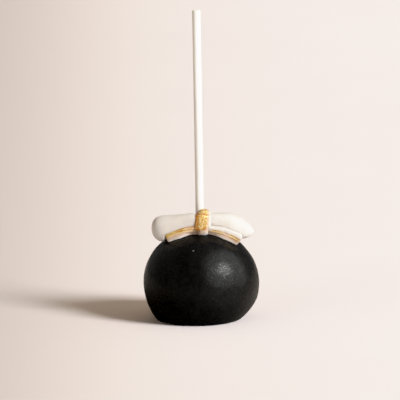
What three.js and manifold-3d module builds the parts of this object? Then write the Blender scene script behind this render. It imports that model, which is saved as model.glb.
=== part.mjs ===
// A cake pop that stands stick up: a coated cake ball on its flat side, a paper stick pushed into
// the top of the ball, and a sugar-paste bow that lies on the ball in front of the stick. The bow
// is a pair of plump loops made as one piece, two flat tails and a knot wrapped round the waist.
// Millimetres, +Z up. The origin is the middle of the flat side, and the bow faces -Y.

import * as THREE from "three";
import { mergeVertices } from "three/addons/utils/BufferGeometryUtils.js";
import Module from "manifold-3d";

// The ball: a round underside cut flat, and a top that is a little lower than a sphere's. Its lower
// right side has slumped inwards.
const BALL_RADIUS = 23;
const BALL_CENTRE_Z = 14.1;
const BALL_RISE = 22.1;
const BASE_EDGE_RADIUS = 1.0;
const SLUMP_DEPTH = 2.3;
const SLUMP_START = 5;
const SLUMP_POWER = 1.6;
const SLUMP_HEADING = THREE.MathUtils.degToRad(-15);
const SLUMP_NARROWNESS = 3;

// The stick is a standard 4.5 inch paper one, pushed in a little to the left of the ball's middle.
const STICK_DIAMETER = 3.3;
const STICK_LENGTH = 114.3;
const STICK_TOP_Z = 124.5;
const STICK_EDGE = 0.25;
const STICK_X = -0.25;

// Pieces that rest on each other keep this much air between them.
const GAP = 0.3;
const HOLE_RADIUS = STICK_DIAMETER / 2 + GAP;

// The bow's loops, seen from the front: they flare from a waist to plump, drooping ends that bend
// back a little. The left end is blunt, and the right one runs out to a lower, slimmer tip.
const BOW_X = 0.85;
const BOW_HALF_LENGTH = 20.35;
const LOOP_ROUNDNESS = 2.15;
const FLARE_START = 0.05;
const FLARE_END = 0.85;
const SWEEP_START = 0.5;
const TIP_SWEEP = 0.6;
const TIP_DROP_POWER = 1.3;
const WAIST = { halfHeight: 2.6, halfDepth: 1.8, y: -5.4, z: 40.9 };
const LEFT_LOOP = { halfHeight: 5.4, halfDepth: 4.5, y: -2.6, z: 37.0 };
const LEFT_TIP = { cap: 6.2, fullness: 2.5, drop: 0 };
const RIGHT_LOOP = { halfHeight: 5.4, halfDepth: 4.4, y: -2.6, z: 37.4 };
const RIGHT_TIP = { cap: 9.6, fullness: 1.7, drop: 2.3 };

// The tails: flat ribbons that start beside the knot and get thicker outwards, with a raised painted
// line on the front edge. Below the line the edge slopes out to a toe on the ball. Thickness and toe
// are given beside the knot and at the outer end.
const TAIL_EDGE_RADIUS = 0.6;
const TAIL_END_EDGE = 0.3;
const LINE_HEIGHT = 1.4;
const LINE_RELIEF = 0.2;
const TAILS = [
  {
    name: "tail_left",
    start: [-2.9, -6.7],
    end: [-12.8, -5.2],
    width: 3.6,
    thickness: [2.9, 3.2],
    toe: [0.3, 1.5],
  },
  {
    name: "tail_right",
    start: [3.4, -7.5],
    end: [14.2, -7.1],
    width: 4.4,
    thickness: [3.5, 4.4],
    toe: [0.6, 0.4],
  },
];

// The knot: a strap round the waist that leans to the right as it rises. Its top left corner is cut
// back, and its foot is drawn in at the front where it meets the ball.
const KNOT = { halfWidth: 3.25, halfDepth: 3.4, halfHeight: 6.1, x: 0.85, y: -5.5, z: 39.0 };
const KNOT_FOOT = { taper: 0.12, round: 2.4, tuck: 1.4 };
const KNOT_CAP = { start: 3.8, inset: 1.3 };
const KNOT_LEAN = THREE.MathUtils.degToRad(5);
const KNOT_SQUARENESS = 3.4;
const KNOT_ROUNDNESS = 2.7;

const BALL_FACETS = { round: 60, arc: 22, edge: 3 };
const STICK_FACETS = 28;
const LOOP_FACETS = { round: 34, along: 36 };
const KNOT_FACETS = { round: 32, along: 20 };
const TAIL_FACETS = { along: 10, curve: 3, end: 2 };

const WELD_DISTANCE = 1e-4;

const wasm = await Module();
wasm.setup();

// Height of the ball's upper surface above a point of the floor, for a ball grown all round.
function ballTopZ(x, y, grow = 0) {
  const share = (x * x + y * y) / (BALL_RADIUS + grow) ** 2;
  return BALL_CENTRE_Z + (BALL_RISE + grow) * Math.sqrt(Math.max(0, 1 - share));
}

// Outward direction of the ball's upper surface above a point of the floor.
function ballNormal(x, y) {
  const rise = (ballTopZ(x, y) - BALL_CENTRE_Z) / BALL_RISE ** 2;
  return new THREE.Vector3(x / BALL_RADIUS ** 2, y / BALL_RADIUS ** 2, rise).normalize();
}

// Moves every vertex of a geometry by a function that changes the point it is given.
function reshape(geometry, place) {
  const vertices = geometry.getAttribute("position");
  const point = new THREE.Vector3();
  for (let i = 0; i < vertices.count; i++) {
    place(point.fromBufferAttribute(vertices, i));
    vertices.setXYZ(i, point.x, point.y, point.z);
  }
  geometry.computeVertexNormals();
  return geometry;
}

// A closed three.js geometry as a solid that can be cut.
function toSolid(geometry) {
  const bare = geometry.clone();
  bare.deleteAttribute("normal");
  bare.deleteAttribute("uv");
  const welded = mergeVertices(bare, WELD_DISTANCE);
  return new wasm.Manifold(
    new wasm.Mesh({
      numProp: 3,
      vertProperties: welded.getAttribute("position").array,
      triVerts: new Uint32Array(welded.index.array),
    }),
  );
}

// A cut solid as a three.js geometry.
function toGeometry(solid) {
  const { vertProperties, triVerts } = solid.getMesh();
  const geometry = new THREE.BufferGeometry();
  geometry.setAttribute("position", new THREE.BufferAttribute(vertProperties, 3));
  geometry.setIndex(new THREE.BufferAttribute(triVerts, 1));
  geometry.computeVertexNormals();
  return geometry;
}

// A power that keeps the sign, for the rounded-box forms.
function signedPower(value, power) {
  return Math.sign(value) * Math.abs(value) ** power;
}

// A profile of (radius, height) points turned round the Z axis.
function turned(profile, facets) {
  return new THREE.LatheGeometry(profile, facets).rotateX(Math.PI / 2);
}

// Ball profile from the middle of the flat side, round the outside, down the stick's hole.
function ballProfile() {
  const holeFloor = STICK_TOP_Z - STICK_LENGTH - GAP;
  const edgeRise = BALL_CENTRE_Z - BASE_EDGE_RADIUS;
  const edgeReach = Math.sqrt((BALL_RADIUS - BASE_EDGE_RADIUS) ** 2 - edgeRise ** 2);
  const edgeAngle = Math.atan2(edgeReach, -edgeRise);
  const points = [new THREE.Vector2(0, 0)];
  for (let i = 0; i <= BALL_FACETS.edge; i++) {
    const angle = Math.PI + (edgeAngle - Math.PI) * (i / BALL_FACETS.edge);
    points.push(
      new THREE.Vector2(
        edgeReach + BASE_EDGE_RADIUS * Math.sin(angle),
        BASE_EDGE_RADIUS + BASE_EDGE_RADIUS * Math.cos(angle),
      ),
    );
  }
  const mouthAngle = Math.asin(HOLE_RADIUS / BALL_RADIUS);
  for (let i = 1; i <= BALL_FACETS.arc; i++) {
    const angle = edgeAngle + (mouthAngle - edgeAngle) * (i / BALL_FACETS.arc);
    const rise = angle < Math.PI / 2 ? BALL_RISE : BALL_RADIUS;
    points.push(
      new THREE.Vector2(BALL_RADIUS * Math.sin(angle), BALL_CENTRE_Z + rise * Math.cos(angle)),
    );
  }
  points.push(new THREE.Vector2(HOLE_RADIUS, holeFloor), new THREE.Vector2(0, holeFloor));
  return points;
}

// The ball with its slumped side, and with the hole moved to where the stick is.
function cakeBall() {
  return reshape(turned(ballProfile(), BALL_FACETS.round), (point) => {
    const drop = BALL_CENTRE_Z - point.z - SLUMP_START;
    const reach = Math.hypot(point.x, point.y);
    if (point.z > BASE_EDGE_RADIUS && reach <= HOLE_RADIUS + WELD_DISTANCE) {
      point.x += STICK_X;
      return;
    }
    if (drop <= 0 || reach <= STICK_DIAMETER) return;
    const heading = Math.atan2(point.y, point.x) - SLUMP_HEADING;
    const facing = ((1 + Math.cos(heading)) / 2) ** SLUMP_NARROWNESS;
    const depth = (drop / (BALL_CENTRE_Z - SLUMP_START)) ** SLUMP_POWER;
    const share = 1 - (SLUMP_DEPTH * depth * facing) / reach;
    point.x *= share;
    point.y *= share;
  });
}

// The stick, with its two end edges eased.
function stick() {
  const radius = STICK_DIAMETER / 2;
  const low = STICK_TOP_Z - STICK_LENGTH;
  const outline = [
    [0, low],
    [radius - STICK_EDGE, low],
    [radius, low + STICK_EDGE],
    [radius, STICK_TOP_Z - STICK_EDGE],
    [radius - STICK_EDGE, STICK_TOP_Z],
    [0, STICK_TOP_Z],
  ];
  const profile = outline.map(([reach, height]) => new THREE.Vector2(reach, height));
  return turned(profile, STICK_FACETS);
}

// Both loops and the waist between them as one soft form, resting on the ball.
function bowLoops(grow = 0) {
  const form = new THREE.SphereGeometry(1, LOOP_FACETS.round, LOOP_FACETS.along);
  const power = 2 / LOOP_ROUNDNESS;
  return reshape(form.rotateZ(-Math.PI / 2), (point) => {
    const [loop, tip] = point.x < 0 ? [LEFT_LOOP, LEFT_TIP] : [RIGHT_LOOP, RIGHT_TIP];
    const share = Math.abs(point.x);
    const flare = THREE.MathUtils.smoothstep(share, FLARE_START, FLARE_END);
    const size = (key) => THREE.MathUtils.lerp(WAIST[key], loop[key], flare);
    const intoCap = Math.max(0, 1 - ((1 - share) * BOW_HALF_LENGTH) / tip.cap);
    const closing = (1 - intoCap ** tip.fullness) ** (1 / tip.fullness);
    const sweep = TIP_SWEEP * (Math.max(0, share - SWEEP_START) / (1 - SWEEP_START)) ** 2;
    const drop = tip.drop * intoCap ** TIP_DROP_POWER;
    const angle = Math.atan2(point.z, point.y);
    const depth = signedPower(Math.cos(angle), power) * closing;
    const height = signedPower(Math.sin(angle), power) * closing;
    point.x = BOW_X + point.x * (BOW_HALF_LENGTH + grow);
    point.y = size("y") + sweep + depth * (size("halfDepth") + grow);
    point.z = size("z") - drop + height * (size("halfHeight") + grow);
    point.z = Math.max(point.z, ballTopZ(point.x, point.y, GAP - grow));
  });
}

// A tail's section: across its width, and up from the ball, with the painted line standing proud.
function tailOutline(width, thickness, grow) {
  const front = -grow;
  const back = width + grow;
  const low = -grow;
  const high = thickness + grow;
  const lineTop = high - TAIL_EDGE_RADIUS;
  const lineMiddle = lineTop - LINE_HEIGHT / 2;
  const outline = new THREE.Shape();
  outline.moveTo(front + TAIL_EDGE_RADIUS, low);
  outline.lineTo(back, low);
  outline.lineTo(back, high - TAIL_EDGE_RADIUS);
  outline.quadraticCurveTo(back, high, back - TAIL_EDGE_RADIUS, high);
  outline.lineTo(front + TAIL_EDGE_RADIUS, high);
  outline.quadraticCurveTo(front, high, front, lineTop);
  outline.quadraticCurveTo(front - 2 * LINE_RELIEF, lineMiddle, front, lineTop - LINE_HEIGHT);
  outline.lineTo(front, low + TAIL_EDGE_RADIUS);
  outline.quadraticCurveTo(front, low, front + TAIL_EDGE_RADIUS, low);
  return outline;
}

// One tail, bent over the ball from beside the knot outwards.
function tail({ start, end, width, thickness, toe }, grow = 0) {
  const from = new THREE.Vector2(...start);
  const run = new THREE.Vector2(...end).sub(from);
  const reach = run.length();
  const length = reach + 2 * grow;
  const toRight = Math.sign(run.x);
  const along = run.clone().normalize();
  const across = new THREE.Vector2(-along.y, along.x).multiplyScalar(toRight);
  const ribbon = new THREE.ExtrudeGeometry(tailOutline(width, thickness[0], grow), {
    depth: length - 2 * TAIL_END_EDGE,
    steps: TAIL_FACETS.along,
    curveSegments: TAIL_FACETS.curve,
    bevelThickness: TAIL_END_EDGE,
    bevelSize: TAIL_END_EDGE,
    bevelOffset: -TAIL_END_EDGE,
    bevelSegments: TAIL_FACETS.end,
  });
  return reshape(ribbon, (point) => {
    const fromLeft = point.z + TAIL_END_EDGE;
    const distance = (toRight > 0 ? fromLeft : length - fromLeft) - grow;
    const share = THREE.MathUtils.clamp(distance / reach, 0, 1);
    const up = point.y / thickness[0];
    const slope = point.x < width / 2 ? THREE.MathUtils.lerp(...toe, share) * (1 - up) ** 2 : 0;
    const plan = from.clone().addScaledVector(along, distance).addScaledVector(across, point.x - slope);
    const foot = new THREE.Vector3(plan.x, plan.y, ballTopZ(plan.x, plan.y));
    const height = GAP + up * THREE.MathUtils.lerp(...thickness, share);
    point.copy(foot.addScaledVector(ballNormal(plan.x, plan.y), height));
  });
}

// The knot before the waist is taken out of it: an upright rounded block standing on the ball.
function knotBlock() {
  const form = new THREE.SphereGeometry(1, KNOT_FACETS.round, KNOT_FACETS.along);
  const upright = 2 / KNOT_SQUARENESS;
  const round = 2 / KNOT_ROUNDNESS;
  return reshape(form.rotateX(Math.PI / 2), (point) => {
    const reach = Math.hypot(point.x, point.y);
    const turn = Math.atan2(point.y, point.x);
    const size = signedPower(reach, upright);
    const rise = signedPower(point.z, upright);
    const across = size * signedPower(Math.cos(turn), round);
    const deep = size * signedPower(Math.sin(turn), round);
    const z = rise * KNOT.halfHeight;
    const inset = KNOT_CAP.inset * THREE.MathUtils.smoothstep(z, KNOT_CAP.start, KNOT.halfHeight);
    const halfWidth = KNOT.halfWidth * (1 - KNOT_FOOT.taper * Math.max(0, -rise));
    const x = across * halfWidth + inset * Math.max(0, -across);
    point.x = KNOT.x + x * Math.cos(KNOT_LEAN) + z * Math.sin(KNOT_LEAN);
    point.y = KNOT.y + deep * KNOT.halfDepth;
    point.z = KNOT.z + z * Math.cos(KNOT_LEAN) - x * Math.sin(KNOT_LEAN);
    const clearance = (point.z - ballTopZ(point.x, point.y)) / KNOT_FOOT.round;
    const near = THREE.MathUtils.clamp(1 - clearance, 0, 1);
    point.y += KNOT_FOOT.tuck * Math.max(0, -deep) * (1 - Math.sqrt(1 - near ** 2));
    point.z = Math.max(point.z, ballTopZ(point.x, point.y, GAP));
  });
}

// Finishes as they look: satin black coating, white sugar paste, gold paint and white paper.
const COATING = { color: 0x0d0d0e, roughness: 0.45 };
const SUGAR_PASTE = { color: 0xf1ebe2, roughness: 0.6 };
const GOLD_PAINT = { color: 0xd0a046, roughness: 0.35, metalness: 0.9 };
const PAPER = { color: 0xfaf6f0, roughness: 0.7 };

// One named piece with a material of its own.
function piece(name, geometry, finish) {
  const mesh = new THREE.Mesh(geometry, new THREE.MeshStandardMaterial(finish));
  mesh.name = name;
  return mesh;
}

const tailRoom = TAILS.map((shape) => toSolid(tail(shape, GAP)));
const clearOfTails = (body) => tailRoom.reduce((rest, room) => rest.subtract(room), body);
const loops = clearOfTails(toSolid(bowLoops()));
const knot = clearOfTails(toSolid(knotBlock()).subtract(toSolid(bowLoops(GAP))));

const stickPiece = piece("stick", stick(), PAPER);
stickPiece.position.x = STICK_X;

const cakePop = new THREE.Group();
cakePop.add(
  piece("cake_ball", cakeBall(), COATING),
  stickPiece,
  piece("bow_loops", toGeometry(loops), SUGAR_PASTE),
  piece("bow_knot", toGeometry(knot), GOLD_PAINT),
  ...TAILS.map((shape) => piece(shape.name, tail(shape), SUGAR_PASTE)),
);

export default cakePop;
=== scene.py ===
"""Looks of a cake pop that stands stick up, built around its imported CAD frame.

A cake ball in velvety black coating carries a rolled-paper stick and a bow of white sugar paste: two
plump loops in one piece, two flat tails with a gold line, and a gold knot. Metres, +Z up. The origin is
the middle of the ball's flat side, and the bow faces -Y.
"""

import logging
import math
from abc import ABC, abstractmethod
from collections.abc import Iterable
from dataclasses import dataclass, replace
from enum import Enum
from functools import cached_property

import bmesh
import bpy
from mathutils import Color, Matrix, Quaternion, Vector, noise


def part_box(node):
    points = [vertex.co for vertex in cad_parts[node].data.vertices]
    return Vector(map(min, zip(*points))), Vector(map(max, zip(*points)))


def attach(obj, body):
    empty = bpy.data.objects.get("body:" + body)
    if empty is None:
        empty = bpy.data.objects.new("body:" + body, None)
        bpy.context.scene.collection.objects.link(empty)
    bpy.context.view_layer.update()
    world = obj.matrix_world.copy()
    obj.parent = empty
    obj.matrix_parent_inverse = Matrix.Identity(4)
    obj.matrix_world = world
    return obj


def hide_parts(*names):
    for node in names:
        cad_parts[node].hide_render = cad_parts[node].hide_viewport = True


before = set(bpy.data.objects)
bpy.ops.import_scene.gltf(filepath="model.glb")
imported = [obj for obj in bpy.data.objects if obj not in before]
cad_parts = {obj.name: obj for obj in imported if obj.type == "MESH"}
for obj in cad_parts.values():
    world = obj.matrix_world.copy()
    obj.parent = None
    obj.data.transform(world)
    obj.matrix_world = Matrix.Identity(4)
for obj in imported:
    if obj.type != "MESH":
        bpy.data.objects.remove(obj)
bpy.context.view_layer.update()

LOG = logging.getLogger("cake_pop")
BODY = "root"
MM = 0.001
WELD_DISTANCE = 0.001 * MM
CONTACT_GAP = 0.04 * MM
FAR = 100 * MM
QUARTER_TURN = math.pi / 2
RISING = (0.0, 1.0)
FALLING = (1.0, 0.0)

Pair = tuple[float, float]
Tint = tuple[float, float, float]
Colour = tuple[float, float, float, float]
Socket = bpy.types.NodeSocket
Feed = float | tuple[float, ...] | Socket
Range = tuple[Feed, Feed]
Shape = bmesh.types.BMesh


class Slot(Enum):
    """Names of material slots."""

    COATING = "coating"
    PASTE = "sugar_paste"
    GOLD = "gold_paint"
    PAPER = "paper"


class Axis(Enum):
    """A direction of a piece's own coordinates."""

    X = "X"
    Y = "Y"
    Z = "Z"


class Lighting(Enum):
    """What a light is for."""

    SURFACES = "surfaces"
    GLINTS = "glints"


class Bumps(Enum):
    """The seeds of the random bumps."""

    BALL_LUMPS = 1.0
    BALL_DIMPLES = 2.0
    BALL_PIMPLES = 3.0
    SPECK_CHIPS = 4.0
    LOOP_LUMPS = 5.0
    KNOT_CRUMPLES = 7.0


def smooth_step(value: float, low: float, high: float) -> float:
    """Gives a share that rises with soft ends.

    Args:
        value: The number to place between the limits.
        low: Where the share is 0.
        high: Where the share is 1.

    Returns:
        The share, from 0 to 1.
    """
    share = min(1.0, max(0.0, (value - low) / (high - low)))
    return share * share * (3 - 2 * share)


def between(first: float, second: float, share: float) -> float:
    """Gives the number at a share of the way from the first to the second."""
    return first + (second - first) * share


def signed_power(value: float, power: float) -> float:
    """Raises a number to a power and keeps its sign, for the rounded-box forms."""
    return math.copysign(abs(value) ** power, value)


def swelling(value: float, middle: float, reach: float) -> float:
    """Gives a bell curve, 1 at the middle and near 0 at about twice the reach from it."""
    return math.exp(-(((value - middle) / reach) ** 2))


def soft_max(first: float, second: float, width: float) -> float:
    """Gives the larger of two numbers, rounded over where they are nearly alike.

    Args:
        first: One number.
        second: The other number.
        width: The difference below which the two are blended.

    Returns:
        The larger number, or a little more where they meet.
    """
    overlap = max(0.0, width - abs(first - second)) / width
    return max(first, second) + overlap * overlap * width / 4


def ripple(point: Vector, size: float, seed: float) -> float:
    """Gives a smooth random height, from about -1 to 1.

    Args:
        point: The place on the piece.
        size: How far apart the bumps are.
        seed: Picks another set of bumps.

    Returns:
        The height at that place.
    """
    return noise.noise(point / size + Vector((seed, -seed, seed / 2)))


def tone(code: str) -> Colour:
    """Turns a colour as it shows on a screen, such as d0a046, into shader units.

    Args:
        code: Six hexadecimal digits.

    Returns:
        Red, green, blue and full opacity.
    """
    shares = [int(code[i:i + 2], 16) / 255 for i in (0, 2, 4)]
    return (*Color(shares).from_srgb_to_scene_linear(), 1.0)


def floor_place(node: str) -> Vector:
    """Gives the middle of a node of the frame, as seen from above."""
    low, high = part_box(node)
    return Vector(((low.x + high.x) / 2, (low.y + high.y) / 2, 0.0))


def add_object(name: str, data: bpy.types.ID) -> bpy.types.Object:
    """Puts a new object in the scene.

    Args:
        name: The object's name.
        data: Its mesh, camera or light.

    Returns:
        The object, at the origin.
    """
    made = bpy.data.objects.new(name, data)
    bpy.context.scene.collection.objects.link(made)
    return made


def add_mesh(name: str, shape: Shape, material: bpy.types.Material) -> bpy.types.Object:
    """Puts a finished shape in the scene.

    Args:
        name: The name of the object and of its mesh.
        shape: The shape, which is used up.
        material: The material of all its faces.

    Returns:
        The object, at the origin.
    """
    mesh = bpy.data.meshes.new(name)
    shape.to_mesh(mesh)
    shape.free()
    mesh.materials.append(material)
    return add_object(name, mesh)


class Graph:
    """A node tree that is wired up one node at a time."""

    def __init__(self, tree: bpy.types.NodeTree) -> None:
        """Takes the tree to wire up."""
        self.tree = tree

    def node(self, kind: str, feeds: dict[str | int, Feed] | None = None, **settings) -> bpy.types.Node:
        """Adds a node.

        Args:
            kind: The node's type name.
            feeds: A value, or an output to link, for each named or numbered input.
            **settings: The node's own properties.

        Returns:
            The new node.
        """
        made = self.tree.nodes.new(kind)
        for name, value in settings.items():
            setattr(made, name, value)
        self.feed(made, feeds or {})
        return made

    def feed(self, node: bpy.types.Node, feeds: dict[str | int, Feed]) -> None:
        """Sets or links a node's inputs.

        Args:
            node: The node.
            feeds: A value, or an output to link, for each named or numbered input.
        """
        for key, value in feeds.items():
            if isinstance(value, Socket):
                self.tree.links.new(value, node.inputs[key])
            else:
                node.inputs[key].default_value = value

    def place(self) -> Socket:
        """Reads the piece's own coordinates."""
        return self.node("ShaderNodeTexCoord").outputs["Object"]

    def attribute(self, name: str) -> Socket:
        """Reads a vector that is stored on the piece's vertices."""
        return self.node("ShaderNodeAttribute", attribute_name=name).outputs["Vector"]

    def part(self, vector: Feed, axis: Axis) -> Socket:
        """Takes one number out of a vector."""
        return self.node("ShaderNodeSeparateXYZ", {"Vector": vector}).outputs[axis.value]

    def noise(self, vector: Feed, scale: Feed, detail: float) -> Socket:
        """Adds cloudy noise.

        Args:
            vector: The coordinates.
            scale: Clouds to a metre.
            detail: How many finer layers are added.

        Returns:
            A value from 0 to 1.
        """
        feeds = {"Vector": vector, "Scale": scale, "Detail": detail}
        return self.node("ShaderNodeTexNoise", feeds).outputs["Fac"]

    def cells(self, vector: Feed, scale: Feed) -> Socket:
        """Scatters round cells, so many to a metre, and gives the distance from their middles."""
        return self.node("ShaderNodeTexVoronoi", {"Vector": vector, "Scale": scale}).outputs["Distance"]

    def stretched(self, vector: Feed, scale: Feed) -> Socket:
        """Scales coordinates along each axis."""
        return self.node("ShaderNodeMapping", {"Vector": vector, "Scale": scale}).outputs["Vector"]

    def facing(self, vector: Feed, direction: Vector) -> Socket:
        """Gives how far a vector goes in a direction."""
        feeds = {0: vector, 1: direction}
        return self.node("ShaderNodeVectorMath", feeds, operation="DOT_PRODUCT").outputs["Value"]

    def sum(self, first: Feed, second: Feed) -> Socket:
        """Adds two values."""
        return self.node("ShaderNodeMath", {0: first, 1: second}, operation="ADD").outputs[0]

    def product(self, first: Feed, second: Feed) -> Socket:
        """Multiplies two values."""
        return self.node("ShaderNodeMath", {0: first, 1: second}, operation="MULTIPLY").outputs[0]

    def rest(self, share: Feed) -> Socket:
        """Gives what a share leaves of the whole."""
        return self.sum(self.product(share, -1.0), 1.0)

    def remap(self, value: Feed, source: Range, result: Range) -> Socket:
        """Carries a value smoothly from one range to another.

        Args:
            value: The value to carry over.
            source: The range that it is in.
            result: The range that it goes to.

        Returns:
            The value in the new range.
        """
        feeds = {"Value": value, "From Min": source[0], "From Max": source[1],
                 "To Min": result[0], "To Max": result[1]}
        return self.node("ShaderNodeMapRange", feeds, interpolation_type="SMOOTHSTEP").outputs["Result"]

    def colour_mix(self, share: Feed, first: Feed, second: Feed) -> Socket:
        """Mixes two colours by a share of the second."""
        return self.node("ShaderNodeMix", {0: share, 6: first, 7: second}, data_type="RGBA").outputs[2]

    def value_mix(self, share: Feed, first: Feed, second: Feed) -> Socket:
        """Mixes two values by a share of the second."""
        return self.node("ShaderNodeMix", {0: share, 2: first, 3: second}, data_type="FLOAT").outputs[0]

    def bump(self, height: Feed, depth: float, normal: Feed | None = None) -> Socket:
        """Turns a height into a slope of the surface.

        Args:
            height: The relief, from 0 to 1.
            depth: The relief's real depth.
            normal: A slope that is already there.

        Returns:
            The normal for a shader.
        """
        feeds = {"Height": height, "Distance": depth}
        if normal is not None:
            feeds["Normal"] = normal
        return self.node("ShaderNodeBump", feeds).outputs["Normal"]

    def effect(self, group: bpy.types.NodeTree, feeds: dict[str | int, Feed]) -> bpy.types.NodeOutputs:
        """Places a shared effect with its own values, and gives its outputs."""
        return self.node("ShaderNodeGroup", feeds, node_tree=group).outputs


class SurfaceEffects:
    """The surface effects that several finishes share, each built once as a shader node group."""

    FLOAT = "NodeSocketFloat"
    COLOUR = "NodeSocketColor"
    VECTOR = "NodeSocketVector"
    SOFT_DETAIL = 4.0
    FINE_DETAIL = 5.0
    MEAN_CLOUD = 0.5
    DOME_EDGE = (0.0, 0.8)
    DOME_CLOUDS = 0.4
    PATCH_EDGE = (0.32, 0.68)
    CLOT_EDGE = (0.35, 0.62)
    CLOT_ROUGHNESS = (0.52, 0.3)
    CLOT_FACETS = 0.45

    def _group(
        self, name: str, takes: dict[str, str], gives: dict[str, str],
    ) -> tuple[Graph, bpy.types.NodeOutputs, bpy.types.Node]:
        """Starts a group that is laid on coordinates at a scale.

        Args:
            name: The group's name.
            takes: The kind of each other named input.
            gives: The kind of each named output.

        Returns:
            The group's graph, what comes into it, and the node that takes what goes out.
        """
        tree = bpy.data.node_groups.new(name, "ShaderNodeTree")
        takes = {"Vector": self.VECTOR, "Scale": self.FLOAT, **takes}
        for side, sockets in (("INPUT", takes), ("OUTPUT", gives)):
            for label, kind in sockets.items():
                tree.interface.new_socket(name=label, in_out=side, socket_type=kind)
        graph = Graph(tree)
        return graph, graph.node("NodeGroupInput").outputs, graph.node("NodeGroupOutput")

    @cached_property
    def pebbles(self) -> bpy.types.NodeTree:
        """A close pebbled grain, as sprayed coating and dried paste have.

        Returns:
            The group, which puts out a height.
        """
        graph, given, result = self._group("pebbled grain", {}, {"Height": self.FLOAT})
        domes = graph.remap(graph.cells(given["Vector"], given["Scale"]), self.DOME_EDGE, FALLING)
        clouds = graph.noise(given["Vector"], given["Scale"], self.FINE_DETAIL)
        graph.feed(result, {"Height": graph.value_mix(self.DOME_CLOUDS, domes, clouds)})
        return graph.tree

    @cached_property
    def mottle(self) -> bpy.types.NodeTree:
        """Soft patches of two tones.

        Returns:
            The group, which puts out the mixed colour and the mask of the patches.
        """
        graph, given, result = self._group(
            "soft patches",
            {"Dark": self.COLOUR, "Light": self.COLOUR},
            {"Color": self.COLOUR, "Patches": self.FLOAT},
        )
        clouds = graph.noise(given["Vector"], given["Scale"], self.SOFT_DETAIL)
        patches = graph.remap(clouds, self.PATCH_EDGE, RISING)
        mixed = graph.colour_mix(patches, given["Dark"], given["Light"])
        graph.feed(result, {"Color": mixed, "Patches": patches})
        return graph.tree

    @cached_property
    def paint_band(self) -> bpy.types.NodeTree:
        """A band of hand-laid paint with wandering edges.

        Returns:
            The group, which puts out a mask, 1 on the paint.
        """
        takes = ("Position", "Start", "End", "Wander", "Softness")
        graph, given, result = self._group(
            "painted band", {label: self.FLOAT for label in takes}, {"Mask": self.FLOAT},
        )
        clouds = graph.noise(given["Vector"], given["Scale"], self.SOFT_DETAIL)
        drift = graph.product(graph.sum(clouds, -self.MEAN_CLOUD), given["Wander"])
        place = graph.sum(given["Position"], drift)
        after_start = graph.sum(given["Start"], given["Softness"])
        after_end = graph.sum(given["End"], given["Softness"])
        begun = graph.remap(place, (given["Start"], after_start), RISING)
        unended = graph.remap(place, (given["End"], after_end), FALLING)
        graph.feed(result, {"Mask": graph.product(begun, unended)})
        return graph.tree

    @cached_property
    def gold_leaf(self) -> bpy.types.NodeTree:
        """Gold lustre paint: clotted, worn to ochre in places, with a crumpled sparkle.

        Returns:
            The group, which puts out a colour, a roughness and a height.
        """
        graph, given, result = self._group(
            "gold lustre",
            {"Deep": self.COLOUR, "Bright": self.COLOUR},
            {"Color": self.COLOUR, "Roughness": self.FLOAT, "Height": self.FLOAT},
        )
        clots = graph.noise(given["Vector"], given["Scale"], self.FINE_DETAIL)
        facets = graph.cells(given["Vector"], given["Scale"])
        share = graph.remap(clots, self.CLOT_EDGE, RISING)
        graph.feed(result, {
            "Color": graph.colour_mix(share, given["Deep"], given["Bright"]),
            "Roughness": graph.remap(share, RISING, self.CLOT_ROUGHNESS),
            "Height": graph.value_mix(self.CLOT_FACETS, clots, facets),
        })
        return graph.tree


class Finish(ABC):
    """A surface finish that makes its own material, with soft patches of two tones."""

    shade: Colour
    light: Colour
    patch: float

    def material(self, name: str, effects: SurfaceEffects) -> bpy.types.Material:
        """Makes the material.

        Args:
            name: The material's name.
            effects: The shared surface effects.

        Returns:
            The finished material.
        """
        made = bpy.data.materials.new(name)
        made.use_nodes = True
        graph = Graph(made.node_tree)
        graph.tree.nodes.clear()
        skin = graph.node("ShaderNodeBsdfPrincipled")
        graph.node("ShaderNodeOutputMaterial", {"Surface": skin.outputs["BSDF"]})
        graph.feed(skin, self.wire(graph, effects))
        return made

    def patches(self, graph: Graph, effects: SurfaceEffects, place: Socket) -> bpy.types.NodeOutputs:
        """Lays the two tones at some coordinates, and gives their colour and their mask."""
        feeds = {"Vector": place, "Scale": 1 / self.patch, "Dark": self.shade, "Light": self.light}
        return graph.effect(effects.mottle, feeds)

    @abstractmethod
    def wire(self, graph: Graph, effects: SurfaceEffects) -> dict[str, Feed]:
        """Wires up the pattern.

        Args:
            graph: The material's graph.
            effects: The shared surface effects.

        Returns:
            What each named input of the shader takes.
        """


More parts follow.
